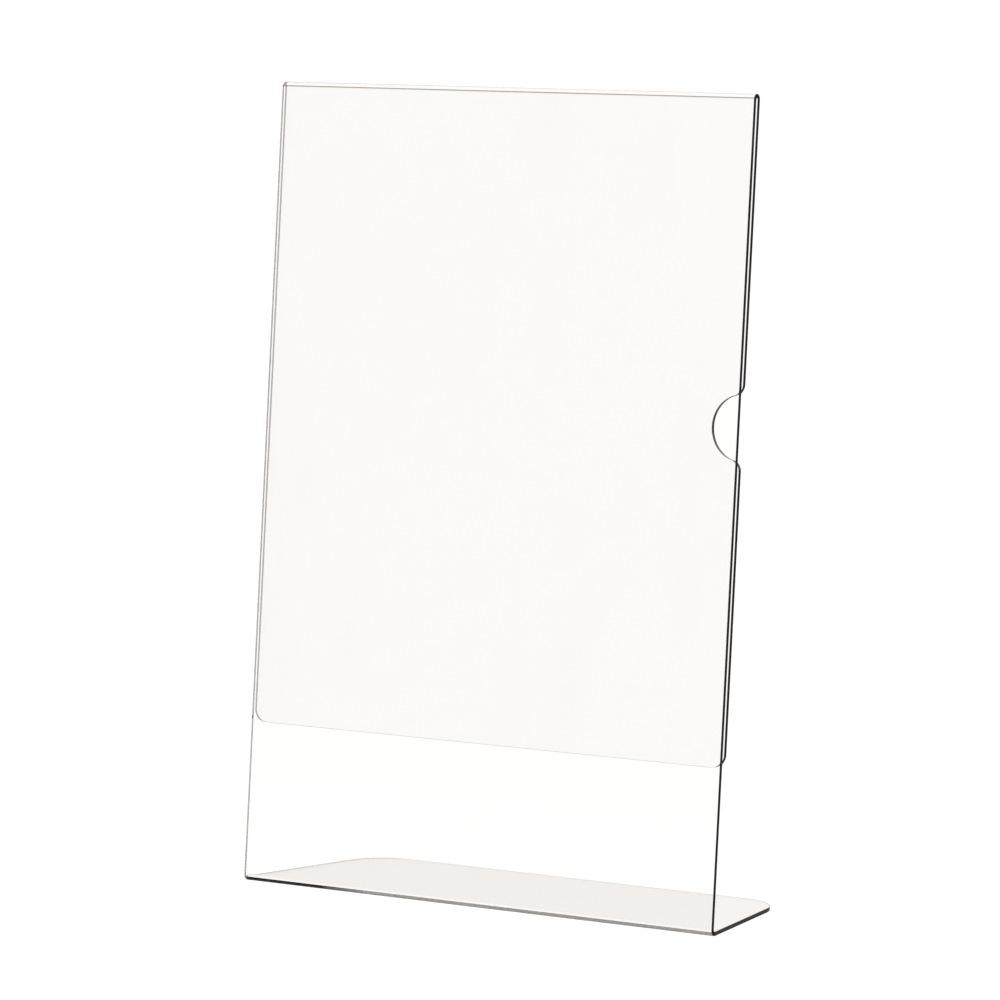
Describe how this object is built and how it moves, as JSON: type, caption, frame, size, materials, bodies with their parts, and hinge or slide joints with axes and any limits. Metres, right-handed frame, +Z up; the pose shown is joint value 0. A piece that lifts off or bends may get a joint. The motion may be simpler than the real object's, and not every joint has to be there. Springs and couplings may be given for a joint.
{
  "type": "photo album stand",
  "caption": "Clear L-shaped table stand for an upright A5 print: tapered foot, leaning face, hairpin top fold and a sprung rear flap with a finger notch.",
  "frame": {"origin": "on the table, at the middle of the stand's width and depth, under the foot", "axes": "+Z up, +Y to the rear (the foot points that way, the face is seen from -Y), +X to the viewer's right, towards the finger notch"},
  "size_m": [0.148, 0.048, 0.2117],
  "materials": {
    "clear_sheet": "water-clear, glossy transparent plastic sheet with polished cut edges and a faint warm tint"
  },
  "bodies": {
    "stand": {"base_plate": "clear_sheet", "heel_bend": "clear_sheet", "front_panel": "clear_sheet", "top_fold": "clear_sheet"},
    "flap": {"rear_flap": "clear_sheet"}
  },
  "joints": [
    {"name": "flap_flex", "type": "hinge", "parent": "stand", "child": "flap", "pos_m": [0, -0.00434, 0.19426], "axis": [1, 0, 0], "range_deg": [0, 8], "stiffness_Nm_per_rad": 0.61, "springref_deg": -1.15}
  ]
}
